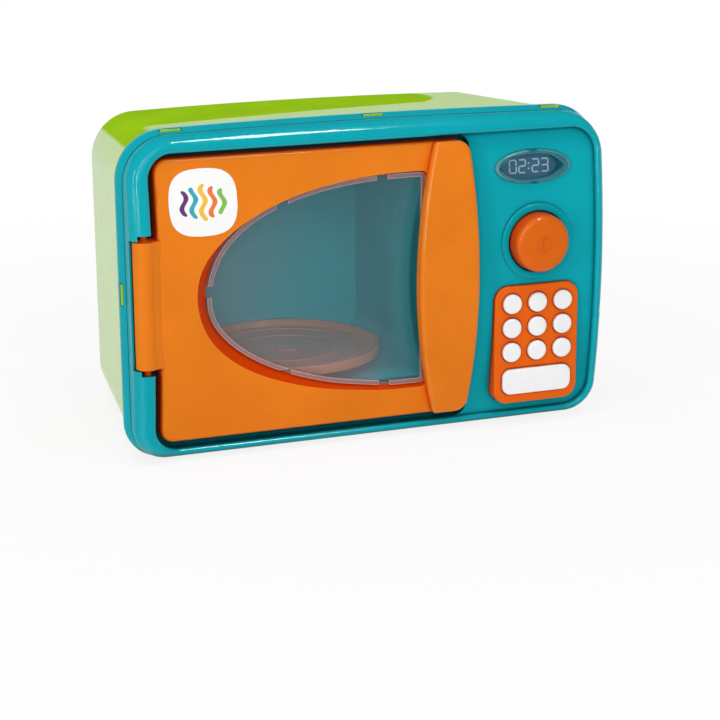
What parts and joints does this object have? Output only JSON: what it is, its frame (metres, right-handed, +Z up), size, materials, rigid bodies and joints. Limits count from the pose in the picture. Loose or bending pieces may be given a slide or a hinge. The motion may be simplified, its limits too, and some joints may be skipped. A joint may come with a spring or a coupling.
{
  "type": "toy microwave oven",
  "caption": "Free-standing toy microwave with a side-hinged windowed door, lens-shaped handle, turntable, click knob, sprung keypad and oval display.",
  "frame": {"origin": "middle of the footprint, on the surface the toy stands on", "axes": "+Z up, -Y is the front with the door and the keypad, +X is to the right seen from the front"},
  "size_m": [0.3, 0.158, 0.195],
  "materials": {
    "lime_plastic": "gloss",
    "teal_plastic": "gloss",
    "orange_plastic": "gloss",
    "white_plastic": "satin",
    "clear_plastic": "clear gloss",
    "black_card": "printed card",
    "sticker": "printed sticker",
    "grey_plastic": "matte",
    "natural_plastic": "matte",
    "spring_steel": "bright",
    "screw_steel": "zinc plated"
  },
  "bodies": {
    "housing": {"casing_screws": "screw_steel", "catch_clip": "spring_steel", "catch_clip_screw": "screw_steel", "cavity_liner": "teal_plastic", "click_spring": "spring_steel", "click_spring_screw": "screw_steel", "display_card": "black_card", "display_frame": "grey_plastic", "display_lens": "clear_plastic", "display_screws": "screw_steel", "front_bezel": "teal_plastic", "key_retainer": "grey_plastic", "key_spring_1": "spring_steel", "key_spring_2": "spring_steel", "key_spring_3": "spring_steel", "key_spring_4": "spring_steel", "key_spring_5": "spring_steel", "key_spring_6": "spring_steel", "key_spring_7": "spring_steel", "key_spring_8": "spring_steel", "key_spring_9": "spring_steel", "key_spring_start": "spring_steel", "keypad_plate": "orange_plastic", "keypad_screws": "screw_steel", "liner_screws": "screw_steel", "rear_casing": "lime_plastic", "turntable_spindle": "natural_plastic"},
    "door": {"door_panel": "orange_plastic", "door_handle": "orange_plastic", "door_window": "clear_plastic", "door_inner_frame": "orange_plastic", "door_badge": "sticker", "door_catch": "natural_plastic", "door_frame_screws": "screw_steel", "handle_screws": "screw_steel"},
    "knob_set": {"knob": "orange_plastic", "knob_shaft": "natural_plastic", "ratchet_wheel": "natural_plastic", "knob_washer": "screw_steel", "knob_screw": "screw_steel"},
    "turntable_body": {"turntable": "orange_plastic"},
    "key_1_body": {"key_1": "white_plastic"},
    "key_2_body": {"key_2": "white_plastic"},
    "key_3_body": {"key_3": "white_plastic"},
    "key_4_body": {"key_4": "white_plastic"},
    "key_5_body": {"key_5": "white_plastic"},
    "key_6_body": {"key_6": "white_plastic"},
    "key_7_body": {"key_7": "white_plastic"},
    "key_8_body": {"key_8": "white_plastic"},
    "key_9_body": {"key_9": "white_plastic"},
    "key_start_body": {"key_start": "white_plastic"}
  },
  "joints": [
    {"name": "door_hinge", "type": "hinge", "parent": "housing", "child": "door", "pos_m": [-0.1398, -0.0658, 0.0965], "axis": [0, 0, -1], "range_deg": [0, 105]},
    {"name": "knob_turn", "type": "hinge", "parent": "housing", "child": "knob_set", "pos_m": [0.103, -0.066, 0.1146], "axis": [0, -1, 0], "continuous": true},
    {"name": "turntable_spin", "type": "hinge", "parent": "housing", "child": "turntable_body", "pos_m": [-0.031, 0.0105, 0.0386], "axis": [0, 0, 1], "continuous": true},
    {"name": "key_1_press", "type": "slide", "parent": "housing", "child": "key_1_body", "axis": [0, 1, 0], "range_m": [0, 0.0015], "stiffness_N_per_m": 300, "springref_m": -0.001, "deforming": ["key_spring_1"]},
    {"name": "key_2_press", "type": "slide", "parent": "housing", "child": "key_2_body", "axis": [0, 1, 0], "range_m": [0, 0.0015], "stiffness_N_per_m": 300, "springref_m": -0.001, "deforming": ["key_spring_2"]},
    {"name": "key_3_press", "type": "slide", "parent": "housing", "child": "key_3_body", "axis": [0, 1, 0], "range_m": [0, 0.0015], "stiffness_N_per_m": 300, "springref_m": -0.001, "deforming": ["key_spring_3"]},
    {"name": "key_4_press", "type": "slide", "parent": "housing", "child": "key_4_body", "axis": [0, 1, 0], "range_m": [0, 0.0015], "stiffness_N_per_m": 300, "springref_m": -0.001, "deforming": ["key_spring_4"]},
    {"name": "key_5_press", "type": "slide", "parent": "housing", "child": "key_5_body", "axis": [0, 1, 0], "range_m": [0, 0.0015], "stiffness_N_per_m": 300, "springref_m": -0.001, "deforming": ["key_spring_5"]},
    {"name": "key_6_press", "type": "slide", "parent": "housing", "child": "key_6_body", "axis": [0, 1, 0], "range_m": [0, 0.0015], "stiffness_N_per_m": 300, "springref_m": -0.001, "deforming": ["key_spring_6"]},
    {"name": "key_7_press", "type": "slide", "parent": "housing", "child": "key_7_body", "axis": [0, 1, 0], "range_m": [0, 0.0015], "stiffness_N_per_m": 300, "springref_m": -0.001, "deforming": ["key_spring_7"]},
    {"name": "key_8_press", "type": "slide", "parent": "housing", "child": "key_8_body", "axis": [0, 1, 0], "range_m": [0, 0.0015], "stiffness_N_per_m": 300, "springref_m": -0.001, "deforming": ["key_spring_8"]},
    {"name": "key_9_press", "type": "slide", "parent": "housing", "child": "key_9_body", "axis": [0, 1, 0], "range_m": [0, 0.0015], "stiffness_N_per_m": 300, "springref_m": -0.001, "deforming": ["key_spring_9"]},
    {"name": "key_start_press", "type": "slide", "parent": "housing", "child": "key_start_body", "axis": [0, 1, 0], "range_m": [0, 0.0015], "stiffness_N_per_m": 300, "springref_m": -0.001, "deforming": ["key_spring_start"]}
  ]
}
